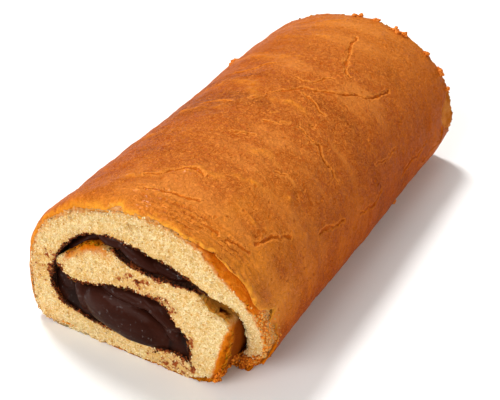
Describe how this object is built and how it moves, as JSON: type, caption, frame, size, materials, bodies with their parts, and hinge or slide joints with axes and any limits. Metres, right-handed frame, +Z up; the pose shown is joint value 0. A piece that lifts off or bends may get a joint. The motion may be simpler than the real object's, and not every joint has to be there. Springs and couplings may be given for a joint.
{
  "type": "swiss roll cake",
  "caption": "Whole swiss roll cake: thick golden sponge sheet rolled round a dark chocolate cream, with an open cut face at each end.",
  "frame": {"origin": "middle of the bounding box's base, on the surface the roll stands on", "axes": "+Y along the roll, from the cut face shown to the far cut face; +X to the right, seen from the shown cut face; +Z up"},
  "size_m": [0.1202, 0.2202, 0.0755],
  "materials": {
    "sponge": "baked sponge: mottled golden-brown crust outside, open pale yellow crumb at the cut faces",
    "chocolate_cream": "thick dark chocolate cream, smooth and slightly glossy"
  },
  "bodies": {
    "root": {"sponge": "sponge", "cream_core": "chocolate_cream", "cream_band": "chocolate_cream"}
  },
  "joints": []
}
